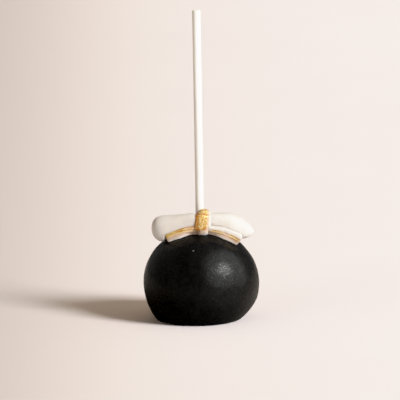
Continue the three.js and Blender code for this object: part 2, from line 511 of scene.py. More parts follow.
@dataclass(frozen=True)
class VelvetCoating(Finish):
    """Black coating with a velvety, finely pebbled skin."""

    shade: Colour = tone("0f0f0f")
    light: Colour = tone("121212")
    patch: float = 2.5 * MM
    pebble: float = 0.65 * MM
    pebble_depth: float = 0.032 * MM
    speck: float = 0.35 * MM
    speck_depth: float = 0.015 * MM
    roughness: Pair = (0.26, 0.3)
    gloss: float = 0.14
    bead_spacing: float = 0.85 * MM
    bead_rim: Pair = (0.2, 0.42)
    bead_gloss: float = 0.3
    bead_roughness: float = 0.27

    def wire(self, graph: Graph, effects: SurfaceEffects) -> dict[str, Feed]:
        """Wires up the mottled black, its two sizes of grain and its scattered glossy beads.

        Args:
            graph: The material's graph.
            effects: The shared surface effects.

        Returns:
            What each named input of the shader takes.
        """
        place = graph.place()
        patches = self.patches(graph, effects, place)
        coarse = graph.effect(effects.pebbles, {"Vector": place, "Scale": 1 / self.pebble})
        fine = graph.effect(effects.pebbles, {"Vector": place, "Scale": 1 / self.speck})
        slope = graph.bump(coarse["Height"], self.pebble_depth)
        beads = graph.cells(place, 1 / self.bead_spacing)
        return {
            "Base Color": patches["Color"],
            "Roughness": graph.remap(patches["Patches"], RISING, self.roughness),
            "Specular IOR Level": self.gloss,
            "Coat Weight": graph.remap(beads, self.bead_rim, (self.bead_gloss, 0.0)),
            "Coat Roughness": self.bead_roughness,
            "Normal": graph.bump(fine["Height"], self.speck_depth, slope),
        }


@dataclass(frozen=True)
class SugarPaste(Finish):
    """White sugar paste, slightly see-through, with a dry satin skin."""

    shade: Colour = tone("c9c4be")
    light: Colour = tone("d2cdc7")
    patch: float = 5.0 * MM
    grain: float = 0.5 * MM
    grain_depth: float = 0.02 * MM
    roughness: Pair = (0.5, 0.6)
    gloss: float = 0.12
    powder: float = 0.15
    glow: float = 0.7
    glow_reach: Tint = (1.0, 0.9, 0.8)
    glow_depth: float = 1.2 * MM

    def paste(self, graph: Graph, effects: SurfaceEffects) -> dict[str, Feed]:
        """Wires up the bare paste.

        Args:
            graph: The material's graph.
            effects: The shared surface effects.

        Returns:
            The colour, the roughness and the height of the bare paste.
        """
        place = graph.place()
        patches = self.patches(graph, effects, place)
        grain = graph.effect(effects.pebbles, {"Vector": place, "Scale": 1 / self.grain})
        return {
            "Color": patches["Color"],
            "Roughness": graph.remap(patches["Patches"], RISING, self.roughness),
            "Height": grain["Height"],
        }

    def skin(self) -> dict[str, Feed]:
        """Gives the shader's values for the dry skin and for the light that soaks into the paste.

        Returns:
            What each named input of the shader takes.
        """
        return {
            "Specular IOR Level": self.gloss,
            "Sheen Weight": self.powder,
            "Subsurface Weight": self.glow,
            "Subsurface Radius": self.glow_reach,
            "Subsurface Scale": self.glow_depth,
        }

    def wire(self, graph: Graph, effects: SurfaceEffects) -> dict[str, Feed]:
        """Wires up plain paste.

        Args:
            graph: The material's graph.
            effects: The shared surface effects.

        Returns:
            What each named input of the shader takes.
        """
        paste = self.paste(graph, effects)
        return {
            "Base Color": paste["Color"],
            "Roughness": paste["Roughness"],
            "Normal": graph.bump(paste["Height"], self.grain_depth),
            **self.skin(),
        }


@dataclass(frozen=True)
class Band:
    """A stretch of a piece's stored coordinates that the paint covers, and how far its dust and painted
    shade go on.
    """

    axis: Axis
    start: float = -FAR
    end: float = FAR
    fade: float = 0.1 * MM
    share: float = 1.0
    dust_and_shade_before: float = 1.0 * MM
    dust_and_shade_past: float = 0.0


@dataclass(frozen=True)
class GildedPaste(SugarPaste):
    """Sugar paste with gold lustre brushed over part of it, and brown painted shade where shade falls near
    the knot.
    """

    attribute: str = ""
    bands: tuple[Band, ...] = ()
    # Deeper orange bands on the gold: pooled paint, and painted shade where the gold turns from the light.
    pools_and_painted_shade: tuple[Band, ...] = ()
    pooled_and_shaded_tone: Colour = tone("c47a20")
    rubbed: tuple[Band, ...] = ()
    # Painted shade: bands darkened to brown where shade falls, near the knot and in its crevices.
    painted_shade_bands: tuple[Band, ...] = ()
    painted_shade_tone: Colour = tone("7a5c3c")
    deep: Colour = tone("c08a2e")
    bright: Colour = tone("f4dfa2")
    clot: float = 0.7 * MM
    clot_stretch: Vector = Vector((1.0, 1.0, 1.0))
    clot_depth: float = 0.22 * MM
    wander: float = 0.5 * MM
    wander_size: float = 0.9 * MM
    metal: float = 0.42
    # A warm tan around the gold: dust, with painted shade below the gold line and on the foot, and painted
    # reflection of the gold.
    dust_and_shade: Colour = tone("c89a72")
    dust_and_shade_fade: float = 1.0 * MM
    dust_and_shade_share: float = 0.6

    def wire(self, graph: Graph, effects: SurfaceEffects) -> dict[str, Feed]:
        """Wires up the paste, the gold and the ragged edge between them, with dust and painted shade around
        the gold.

        Args:
            graph: The material's graph.
            effects: The shared surface effects.

        Returns:
            What each named input of the shader takes.
        """
        paste = self.paste(graph, effects)
        mask = self._painted(graph, effects, self.bands)
        for worn in self.rubbed:
            mask = graph.product(mask, graph.rest(self._painted(graph, effects, [worn])))
        # Dust and painted shade: the warm tan spreads from the gold onto the paste.
        dust_and_shade_mask = self._painted(graph, effects, [self._with_dust_and_shade(band) for band in self.bands])
        tinted = graph.colour_mix(graph.product(dust_and_shade_mask, self.dust_and_shade_share), paste["Color"], self.dust_and_shade)
        # Painted shade: brown laid where the knot's shade falls.
        if self.painted_shade_bands:
            tinted = graph.colour_mix(self._painted(graph, effects, self.painted_shade_bands), tinted, self.painted_shade_tone)
        brushed = graph.stretched(graph.attribute(self.attribute), self.clot_stretch)
        gold = graph.effect(
            effects.gold_leaf,
            {"Vector": brushed, "Scale": 1 / self.clot, "Deep": self.deep, "Bright": self.bright},
        )
        gilt = gold["Color"]
        # Deeper orange bands: pooled paint, and painted shade on the side and in the crease that the light
        # misses.
        for deeper_band in self.pools_and_painted_shade:
            gilt = graph.colour_mix(self._painted(graph, effects, [deeper_band]), gilt, self.pooled_and_shaded_tone)
        slope = graph.bump(graph.product(gold["Height"], mask), self.clot_depth)
        return {
            "Base Color": graph.colour_mix(mask, tinted, gilt),
            "Metallic": graph.product(mask, self.metal),
            "Roughness": graph.value_mix(mask, paste["Roughness"], gold["Roughness"]),
            "Normal": graph.bump(paste["Height"], self.grain_depth, slope),
            **self.skin(),
        }

    def _with_dust_and_shade(self, band: Band) -> Band:
        """Widens a band of paint to the dust and painted shade around it."""
        start = band.start - band.dust_and_shade_before
        return replace(band, start=start, end=band.end + band.dust_and_shade_past, fade=self.dust_and_shade_fade)

    def _painted(self, graph: Graph, effects: SurfaceEffects, bands: Iterable[Band]) -> Feed:
        """Masks where all of some bands overlap.

        Args:
            graph: The material's graph.
            effects: The shared surface effects.
            bands: The bands.

        Returns:
            The mask, 1 on the paint.
        """
        place = graph.place()
        stored = graph.attribute(self.attribute)
        mask: Feed = 1.0
        for band in bands:
            painted = graph.effect(
                effects.paint_band,
                {"Vector": place, "Scale": 1 / self.wander_size, "Position": graph.part(stored, band.axis),
                 "Start": band.start, "End": band.end, "Wander": self.wander, "Softness": band.fade},
            )
            mask = graph.product(mask, graph.product(painted["Mask"], band.share))
        return mask


@dataclass(frozen=True)
class RolledPaper(Finish):
    """Tightly rolled white paper with faint lengthwise fibres."""

    shade: Colour = tone("e2dfd9")
    light: Colour = tone("edeae5")
    patch: float = 3.0 * MM
    fibre: float = 0.25 * MM
    fibre_stretch: float = 0.06
    fibre_detail: float = 3.0
    fibre_edge: Pair = (0.3, 0.7)
    fibre_depth: float = 0.02 * MM
    roughness: Pair = (0.6, 0.75)

    def wire(self, graph: Graph, effects: SurfaceEffects) -> dict[str, Feed]:
        """Wires up the off-white paper and its drawn-out fibres.

        Args:
            graph: The material's graph.
            effects: The shared surface effects.

        Returns:
            What each named input of the shader takes.
        """
        drawn = graph.stretched(graph.place(), (1.0, 1.0, self.fibre_stretch))
        fibres = graph.noise(drawn, 1 / self.fibre, self.fibre_detail)
        return {
            "Base Color": self.patches(graph, effects, drawn)["Color"],
            "Roughness": graph.remap(fibres, self.fibre_edge, self.roughness),
            "Normal": graph.bump(fibres, self.fibre_depth),
        }


@dataclass(frozen=True)
class StudioPaper(Finish):
    """The pale paper that the cake pop stands on, with painted shade that dims it towards the left."""

    shade: Colour = tone("f8f1f4")
    light: Colour = tone("faf3f6")
    patch: float = 120 * MM
    # Painted shade: the paper's tone darkens towards the left, standing in for light that falls off there.
    faint_painted_shade: Colour = tone("eee6e5")
    faint_painted_shade_reach: Pair = (-90 * MM, 90 * MM)
    left_painted_shade: Colour = tone("c8c1bd")
    left_painted_shade_reach: Pair = (-130 * MM, -10 * MM)
    far_reach: Pair = (-400 * MM, -180 * MM)
    # Painted reflection: glossy rays see a dimmer paper, darkest close to the ball as painted shade and
    # lighter towards the lit right as painted light.
    mirrored: Colour = tone("a7a29c")
    mirrored_near: Colour = tone("4a4643")
    near_reach: Pair = (25 * MM, 130 * MM)
    glare: Colour = tone("d8d0c8")
    glare_side: Vector = Vector((0.95, -0.3, 0.0))
    glare_reach: Pair = (8 * MM, 40 * MM)
    roughness: float = 0.9

    def wire(self, graph: Graph, effects: SurfaceEffects) -> dict[str, Feed]:
        """Wires up a tone with broad, faint patches, painted shade towards the left and a darker painted
        reflection tone for glossy rays.

        Args:
            graph: The material's graph.
            effects: The shared surface effects.

        Returns:
            What each named input of the shader takes.
        """
        place = graph.place()
        across = graph.part(place, Axis.X)
        # Painted shade: the paper fades to darker tones towards the left.
        clear = graph.remap(across, self.faint_painted_shade_reach, RISING)
        paper = graph.colour_mix(clear, self.faint_painted_shade, self.patches(graph, effects, place)["Color"])
        near = graph.remap(across, self.far_reach, RISING)
        dim = graph.product(near, graph.remap(across, self.left_painted_shade_reach, FALLING))
        paper = graph.colour_mix(dim, paper, self.left_painted_shade)
        # Painted reflection: darker close to the ball and lighter towards the lit right, for glossy rays
        # only.
        reach = graph.node("ShaderNodeVectorMath", {0: place}, operation="LENGTH").outputs["Value"]
        away = graph.remap(reach, self.near_reach, RISING)
        lit = graph.remap(graph.facing(place, self.glare_side), self.glare_reach, RISING)
        close = graph.colour_mix(lit, self.mirrored_near, self.glare)
        mirrored = graph.colour_mix(away, close, self.mirrored)
        glossy = graph.node("ShaderNodeLightPath").outputs["Is Glossy Ray"]
        return {"Base Color": graph.colour_mix(glossy, paper, mirrored), "Roughness": self.roughness}


@dataclass(frozen=True)
class BallForm:
    """The ball's smooth form, which everything on it is laid against."""

    radius: float
    centre_z: float = 14.1 * MM
    rise: float = 22.1 * MM

    @classmethod
    def from_frame(cls) -> "BallForm":
        """Takes the ball's width from the frame."""
        low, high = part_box("cake_ball")
        return cls(radius=(high.x - low.x) / 2)

    def top(self, x: float, y: float, grow: float = 0.0) -> float:
        """Gives the height of the upper surface above a point of the floor.

        Args:
            x: The point's place to the right.
            y: The point's place to the back.
            grow: How much larger the ball is taken all round.

        Returns:
            The height above the floor.
        """
        share = (x * x + y * y) / (self.radius + grow) ** 2
        return self.centre_z + (self.rise + grow) * math.sqrt(max(0.0, 1 - share))

    def outward(self, x: float, y: float) -> Vector:
        """Gives the upper surface's outward direction above a point of the floor."""
        rise = (self.top(x, y) - self.centre_z) / self.rise ** 2
        return Vector((x / self.radius ** 2, y / self.radius ** 2, rise)).normalized()


class Piece(ABC):
    """One visible piece, which stands for a node of the frame unless it is loose."""

    node: str
    slot: Slot
    loose: bool = False

    @abstractmethod
    def build(self) -> Shape:
        """Builds the piece's mesh.

        Returns:
            The finished mesh.
        """

    @abstractmethod
    def finish(self) -> Finish:
        """Chooses the piece's finish.

        Returns:
            The finish.
        """

    def make(self, effects: SurfaceEffects) -> bpy.types.Object:
        """Builds and dresses the piece and puts it in its place.

        Args:
            effects: The shared surface effects.

        Returns:
            The finished object.
        """
        shape = self.build()
        bmesh.ops.remove_doubles(shape, verts=shape.verts, dist=WELD_DISTANCE)
        bmesh.ops.recalc_face_normals(shape, faces=shape.faces)
        for face in shape.faces:
            face.smooth = True
        name = self.node if self.loose else f"{self.node}_dressed"
        made = add_mesh(name, shape, self.finish().material(f"{self.node} finish", effects))
        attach(made, BODY)
        if not self.loose:
            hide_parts(self.node)
        return made


class Outline:
    """A half outline in the XZ plane, drawn from point to point."""

    def __init__(self, x: float, z: float) -> None:
        """Starts the outline at a point."""
        self.shape = bmesh.new()
        self.tip = self.shape.verts.new((x, 0.0, z))

    def line(self, x: float, z: float) -> None:
        """Draws a straight stretch to a point.

        Args:
            x: The point's place across.
            z: The point's height.
        """
        end = self.shape.verts.new((x, 0.0, z))
        self.shape.edges.new((self.tip, end))
        self.tip = end

    def arc(self, x: float, z: float, angle: float, pitch: float) -> None:
        """Draws a round stretch.

        Args:
            x: The centre's place across.
            z: The centre's height.
            angle: The turn, with a positive one from up towards the right.
            pitch: The longest step along the arc.
        """
        radius = math.hypot(self.tip.co.x - x, self.tip.co.z - z)
        steps = max(1, math.ceil(abs(angle) * radius / pitch))
        swept = bmesh.ops.spin(
            self.shape, geom=[self.tip], cent=(x, 0.0, z), axis=(0.0, 1.0, 0.0), angle=angle, steps=steps,
        )
        self.tip = next(item for item in swept["geom_last"] if isinstance(item, bmesh.types.BMVert))

    def turned(self, steps: int) -> Shape:
        """Turns the outline round the Z axis.

        Args:
            steps: How many steps make the full turn.

        Returns:
            The turned shape.
        """
        bmesh.ops.spin(
            self.shape, geom=[*self.shape.verts, *self.shape.edges], cent=(0.0, 0.0, 0.0),
            axis=(0.0, 0.0, 1.0), angle=math.tau, steps=steps, use_merge=True,
        )
        return self.shape


@dataclass
class CakeBall(Piece):
    """The coated ball: cut flat below, slumped at its lower right, hand-rolled and a little uneven."""

    form: BallForm
    base_edge: float = 1.0 * MM
    base_ease: float = 3.0 * MM
    slump_depth: float = 2.3 * MM
    slump_start: float = 5.0 * MM
    slump_power: float = 1.6
    slump_heading: float = math.radians(-15)
    slump_narrowness: int = 3
    slump_ease: float = 6.9 * MM
    collar: float = 0.7 * MM
    collar_ease: Pair = (2.1 * MM, 7.0 * MM)
    hole_clearance: float = 0.02 * MM
    hole_extra_depth: float = 0.3 * MM
    hole_reach: float = 7.0 * MM
    pitch: float = 0.4 * MM
    edge_pitch: float = 0.15 * MM
    turns: int = 360
    lump_size: float = 9.0 * MM
    lump_height: float = 0.16 * MM
    dimple_size: float = 3.2 * MM
    dimple_height: float = 0.05 * MM
    pimple_size: float = 1.1 * MM
    pimple_height: float = 0.016 * MM
    shoulder: Vector = Vector((-0.87, 0.0, 0.49))
    shoulder_reach: float = 0.45
    shoulder_height: float = 0.45 * MM

    node = "cake_ball"
    slot = Slot.COATING

    def build(self) -> Shape:
        """Turns the outline and settles every point of it.

        Returns:
            The ball's shape.
        """
        shape = self._outline().turned(self.turns)
        for vertex in shape.verts:
            vertex.co = self.settled(vertex.co)
        return shape

    def settled(self, point: Vector) -> Vector:
        """Moves a point of the turned ball to where the finished ball has it."""
        return self._uneven(self._slumped(self._bored(point)))

    def finish(self) -> Finish:
        """Gives the black coating."""
        return VelvetCoating()

    def _outline(self) -> Outline:
        """Draws the half outline from the flat side's middle to the floor of the stick's hole.

        Returns:
            The outline.
        """
        form = self.form
        stick_low, stick_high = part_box("stick")
        hole = (stick_high.x - stick_low.x) / 2 + self.hole_clearance
        edge_rise = form.centre_z - self.base_edge
        edge_reach = math.sqrt((form.radius - self.base_edge) ** 2 - edge_rise ** 2)
        edge_turn = math.atan2(edge_reach, edge_rise)
        mouth = hole + self.collar
        outline = Outline(0.0, 0.0)
        outline.line(edge_reach, 0.0)
        outline.arc(edge_reach, self.base_edge, -edge_turn, self.edge_pitch)
        outline.arc(0.0, form.centre_z, edge_turn - QUARTER_TURN, self.pitch)
        outline.arc(0.0, form.centre_z, math.asin(mouth / form.radius) - QUARTER_TURN, self.pitch)
        dome = [vertex for vertex in outline.shape.verts if vertex.co.z > form.centre_z]
        bmesh.ops.scale(
            outline.shape, vec=(1.0, 1.0, form.rise / form.radius), verts=dome,
            space=Matrix.Translation((0.0, 0.0, -form.centre_z)),
        )
        outline.arc(mouth, outline.tip.co.z + self.collar, QUARTER_TURN, self.edge_pitch)
        floor = stick_low.z - self.hole_extra_depth
        outline.line(hole, floor)
        outline.line(0.0, floor)
        return outline

    @cached_property
    def _stick_axis(self) -> Vector:
        """The stick's place, as seen from above."""
        return floor_place("stick")

    def _bored(self, point: Vector) -> Vector:
        """Moves the stick's hole, and what is close to it, to where the stick is.

        Args:
            point: A point of the turned ball.

        Returns:
            The point with the hole in its place.
        """
        if point.z < self.base_edge:
            return point
        share = 1 - smooth_step(math.hypot(point.x, point.y), *self.collar_ease)
        return point + self._stick_axis * share

    def _slumped(self, point: Vector) -> Vector:
        """Draws the lower right side in.

        Args:
            point: A point of the turned ball.

        Returns:
            The point after the ball has slumped.
        """
        drop = self.form.centre_z - point.z - self.slump_start
        reach = math.hypot(point.x, point.y)
        if drop <= 0 or reach <= self.collar:
            return point
        heading = math.atan2(point.y, point.x) - self.slump_heading
        facing = ((1 + math.cos(heading)) / 2) ** self.slump_narrowness
        depth = (drop / (self.form.centre_z - self.slump_start)) ** self.slump_power
        inward = self.slump_depth * depth * facing * min(1.0, reach / self.slump_ease)
        share = 1 - inward / reach
        return Vector((point.x * share, point.y * share, point.z))

    def _uneven(self, point: Vector) -> Vector:
        """Adds lumps, dimples and pimples, which fade out at the flat side and at the stick.

        Args:
            point: A point of the smooth ball.

        Returns:
            The point of the hand-rolled ball.
        """
        outward = (point - Vector((0.0, 0.0, self.form.centre_z))).normalized()
        reach = math.hypot(point.x, point.y)
        at_base = smooth_step(point.z, 0.0, self.base_ease)
        at_stick = smooth_step(reach, *self.collar_ease)
        in_hole = self.collar < point.z < self.form.centre_z and reach < self.hole_reach
        if in_hole or at_base * at_stick == 0:
            return point
        height = (
            self.lump_height * ripple(point, self.lump_size, Bumps.BALL_LUMPS.value)
            + self.dimple_height * ripple(point, self.dimple_size, Bumps.BALL_DIMPLES.value)
            + self.pimple_height * ripple(point, self.pimple_size, Bumps.BALL_PIMPLES.value)
            + self.shoulder_height * swelling((outward - self.shoulder).length, 0.0, self.shoulder_reach)
        )
        return point + outward * height * at_base * at_stick


@dataclass
class SugarSpeck(Piece):
    """A grain of sugar stuck to the coating below the bow."""

    ball: CakeBall
    x: float = -3.0 * MM
    y: float = -15.5 * MM
    half_size: Vector = Vector((0.38 * MM, 0.1 * MM, 0.06 * MM))
    subdivisions: int = 3
    chip_size: float = 0.9
    chip_depth: float = 0.3

    node = "sugar_speck"
    slot = Slot.PASTE
    loose = True

    def build(self) -> Shape:
        """Chips a small ball, flattens it and sets it on the coating.

        Returns:
            The speck's shape.
        """
        shape = bmesh.new()
        bmesh.ops.create_icosphere(shape, subdivisions=self.subdivisions, radius=1.0)
        for vertex in shape.verts:
            vertex.co *= 1 + self.chip_depth * ripple(vertex.co, self.chip_size, Bumps.SPECK_CHIPS.value)
        bmesh.ops.scale(shape, vec=self.half_size, verts=shape.verts)
        form = self.ball.form
        turn = form.outward(self.x, self.y).to_track_quat("Z", "Y")
        bmesh.ops.rotate(shape, matrix=turn.to_matrix(), verts=shape.verts)
        place = self.ball.settled(Vector((self.x, self.y, form.top(self.x, self.y))))
        bmesh.ops.translate(shape, vec=place, verts=shape.verts)
        return shape

    def finish(self) -> Finish:
        """Gives plain sugar."""
        return SugarPaste()


@dataclass
class PaperStick(Piece):
    """The rolled-paper stick, with a lap along its side and its layers showing at the ends."""

    facets: int = 96
    end_ease: float = 0.25 * MM
    ease_segments: int = 3
    lap_step: float = 0.06 * MM
    lap_heading: float = math.radians(60)
    layer_pitch: float = 0.3 * MM
    layer_relief: float = 0.05 * MM
    groove_middle: float = 0.5
    groove_reach: float = 0.22
    end_rings: int = 26

    node = "stick"
    slot = Slot.PAPER

    def build(self) -> Shape:
        """Extrudes a disc, eases its ends and winds the layers into them.

        Returns:
            The stick's shape.
        """
        low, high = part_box(self.node)
        radius = (high.x - low.x) / 2
        shape = bmesh.new()
        bmesh.ops.create_circle(shape, cap_ends=True, segments=self.facets, radius=radius)
        bmesh.ops.translate(shape, vec=(0.0, 0.0, low.z), verts=shape.verts)
        lifted = bmesh.ops.extrude_face_region(shape, geom=shape.faces[:])["geom"]
        top = [item for item in lifted if isinstance(item, bmesh.types.BMVert)]
        bmesh.ops.translate(shape, vec=(0.0, 0.0, high.z - low.z), verts=top)
        rims = [edge for face in self._ends(shape) for edge in face.edges]
        bmesh.ops.bevel(
            shape, geom=rims, offset=self.end_ease, segments=self.ease_segments, profile=0.5,
            affect="EDGES", material=-1,
        )
        self._inset_ends(shape, radius - self.end_ease)
        for vertex in shape.verts:
            vertex.co = self._wound(vertex.co, low.z, high.z)
        bmesh.ops.translate(shape, vec=floor_place(self.node), verts=shape.verts)
        return shape

    def finish(self) -> Finish:
        """Gives the white paper."""
        return RolledPaper()

    def _ends(self, shape: Shape) -> list[bmesh.types.BMFace]:
        """Finds both end faces, the only ones with a corner at each facet."""
        return [face for face in shape.faces if len(face.verts) == self.facets]

    def _inset_ends(self, shape: Shape, radius: float) -> None:
        """Divides both end faces into rings.

        Args:
            shape: The stick's mesh.
            radius: The end face's radius.
        """
        step = radius / (self.end_rings + 1)
        for _ in range(self.end_rings):
            bmesh.ops.inset_individual(shape, faces=self._ends(shape), thickness=step, use_even_offset=True)
        bmesh.ops.poke(shape, faces=self._ends(shape))

    def _wound(self, point: Vector, low: float, high: float) -> Vector:
        """Moves a point to where the rolled sheet has it.

        Args:
            point: A point of the plain stick.
            low: The height of the lower end.
            high: The height of the upper end.

        Returns:
            The point on the roll.
        """
        turn = ((math.atan2(point.y, point.x) - self.lap_heading) / math.tau) % 1.0
        reach = math.hypot(point.x, point.y)
        inner = reach / max(reach, self.end_ease)
        share = 1 - inner * self.lap_step * turn / max(reach, self.end_ease)
        layer = (reach / self.layer_pitch + turn) % 1.0
        groove = self.layer_relief * swelling(layer, self.groove_middle, self.groove_reach)
        z = point.z
        if z >= high - self.layer_relief:
            z -= groove
        elif z <= low + self.layer_relief:
            z += groove
        return Vector((point.x * share, point.y * share, z))


@dataclass
class RibbonTail(Piece):
    """A flat tail of the bow, bent over the ball, with a raised gold line along its front edge."""

    node: str
    form: BallForm
    start: Vector
    end: Vector
    paint: tuple[Band, ...]
    # Deeper orange lines on the gold line: pooled paint and painted shade along its ridges.
    pools_and_painted_shade: tuple[Band, ...]
    rubbed: tuple[Band, ...]
    # Painted shade: the bands where the lower strip is darkened near the knot.
    painted_shade_bands: tuple[Band, ...]
    width: float
    thickness: float
    end_thickness: float
    end_shrink: float
    toe: Pair
    toe_swell: float
    tuck: float
    line_relief: float
    toe_power: int = 2
    end_round: float = 1.6 * MM
    edge: float = 0.55 * MM
    edge_segments: int = 5
    front_depth: float = 1.1 * MM
    lift: float = 0.3 * MM
    lean_passes: int = 4
    line_height: float = 1.6 * MM
    line_below_top: float = 0.5 * MM
    line_ridges: int = 2
    pitch: float = 0.16 * MM
    bump_size: float = 0.8 * MM
    bump_height: float = 0.06 * MM
    sway_size: float = 4.0 * MM
    sway_height: float = 0.14 * MM
    brush_stretch: Vector = Vector((0.2, 1.0, 1.0))

    slot = Slot.PASTE
    ATTRIBUTE = "ribbon"

    def build(self) -> Shape:
        """Makes a straight ribbon with soft edges, cuts it fine and bends it over the ball.

        Returns:
            The tail's shape.
        """
        size = Vector((self.length + self.tuck, self.width, self.thickness))
        shape = bmesh.new()
        bmesh.ops.create_cube(shape, size=1.0)
        bmesh.ops.scale(shape, vec=size, verts=shape.verts)
        bmesh.ops.translate(shape, vec=size / 2, verts=shape.verts)
        bmesh.ops.bevel(
            shape, geom=shape.edges[:], offset=self.edge, segments=self.edge_segments, profile=0.5,
            affect="EDGES", material=-1,
        )
        for axis, reach in enumerate(size):
            self._slice(shape, axis, reach)
        stored = shape.verts.layers.float_vector.new(self.ATTRIBUTE)
        for vertex in shape.verts:
            vertex[stored] = vertex.co.copy()
            vertex.co = self.bent(self._relieved(vertex.co))
        return shape

    def finish(self) -> Finish:
        """Gives the paste with its gold line, its dust, and painted shade near the knot.

        Returns:
            The finish.
        """
        return GildedPaste(
            attribute=self.ATTRIBUTE, bands=self.paint, pools_and_painted_shade=self.pools_and_painted_shade, rubbed=self.rubbed,
            painted_shade_bands=self.painted_shade_bands, clot_stretch=self.brush_stretch,
        )

    @cached_property
    def length(self) -> float:
        """The tail's length from beside the knot, as seen from above."""
        return (self.end - self.start).length

    @cached_property
    def along(self) -> Vector:
        """The tail's direction away from the knot, as seen from above."""
        return (self.end - self.start).normalized()

    @cached_property
    def across(self) -> Vector:
        """The direction from the tail's front edge to its back edge, as seen from above."""
        return Vector((-self.along.y, self.along.x)) * math.copysign(1.0, self.along.x)

    def laid_height(self, distance: float) -> float:
        """Gives how high the tail's top lies above the ball at a distance from its start."""
        share = min(1.0, max(0.0, distance / self.length))
        return between(self.thickness, self.end_thickness, share) + self.lift

    def bent(self, ribbon: Vector) -> Vector:
        """Lays a point of the straight ribbon over the ball.

        Args:
            ribbon: The place along the ribbon, across it from the front, and up from the ball.

        Returns:
            The place on the ball.
        """
        plan = self.start + self.along * (ribbon.x - self.tuck) + self.across * ribbon.y
        foot = Vector((plan.x, plan.y, self.form.top(plan.x, plan.y)))
        full = self.laid_height(ribbon.x - self.tuck)
        height = CONTACT_GAP + ribbon.z * (full - CONTACT_GAP) / self.thickness
        return foot + self.form.outward(plan.x, plan.y) * height

    def cover(self, x: float, y: float) -> tuple[float, float, float]:
        """Finds what part of the tail's top lies under a point.

        Args:
            x: The point's place to the right.
            y: The point's place to the back.

        Returns:
            The place along the ribbon, the place across it, and the height of its top there.
        """
        plan = Vector((x, y))
        for _ in range(self.lean_passes):
            height = self.laid_height((plan - self.start).dot(self.along))
            lean = self.form.outward(plan.x, plan.y) * height
            plan = Vector((x - lean.x, y - lean.y))
        from_start = plan - self.start
        height = self.form.top(plan.x, plan.y) + lean.z
        return from_start.dot(self.along), from_start.dot(self.across), height

    def _slice(self, shape: Shape, axis: int, reach: float) -> None:
        """Cuts the ribbon across one axis at an even pitch.

        Args:
            shape: The ribbon's mesh.
            axis: The number of the axis.
            reach: The ribbon's size along it.
        """
        count = round(reach / self.pitch)
        direction = Vector((0.0, 0.0, 0.0))
        direction[axis] = 1.0
        for i in range(1, count):
            bmesh.ops.bisect_plane(
                shape, geom=[*shape.verts, *shape.edges, *shape.faces], dist=WELD_DISTANCE,
                plane_co=direction * (reach * i / count), plane_no=direction,
            )

    def _relieved(self, point: Vector) -> Vector:
        """Slopes the front edge, raises its gold line and roughens it, and lets the ribbon sway a little.

        The bumps are seeded by the tail's own place, so that no two tails are alike.

        Args:
            point: A point of the straight ribbon.

        Returns:
            The point with its relief.
        """
        up_line = (point.z - self.thickness + self.line_below_top) / self.line_height + 1
        on_line = 0.0 < up_line < 1.0
        bead = abs(math.sin(math.pi * self.line_ridges * up_line)) if on_line else 0.0
        at_front = 1 - smooth_step(point.y, 0.0, self.front_depth)
        rough = self.bump_height * ripple(point, self.bump_size, self.start.x / MM)
        sway = self.sway_height * ripple(point, self.sway_size, self.end.x / MM)
        from_knot = smooth_step(point.x - self.tuck, 0.0, self.length)
        swell = self.toe_swell * math.sin(math.pi * from_knot)
        toe = (between(*self.toe, from_knot) + swell) * (1 - point.z / self.thickness) ** self.toe_power
        forward = at_front * (toe + self.line_relief * bead + rough * (1 + bead))
        swayed = Vector((point.x, point.y - forward, point.z + sway * point.z / self.thickness))
        return self._rounded(swayed)

    def _rounded(self, point: Vector) -> Vector:
        """Draws the outer end in, so that it is softly rounded.

        Args:
            point: A point of the straight ribbon.

        Returns:
            The point on the rounded end.
        """
        into_end = max(0.0, 1 - (self.length + self.tuck - point.x) / self.end_round)
        shrink = self.end_shrink * (1 - math.sqrt(1 - min(1.0, into_end) ** 2))
        middle = Vector((point.x, self.width / 2, self.thickness / 2))
        return point.lerp(middle, shrink)


@dataclass(frozen=True)
class LoopSize:
    """The cross-section of the bow at one place, and how its end closes."""

    half_height: float
    half_depth: float
    y: float
    z: float
    cap: float = 1.0
    fullness: float = 2.5
    tip_drop: float = 0.0


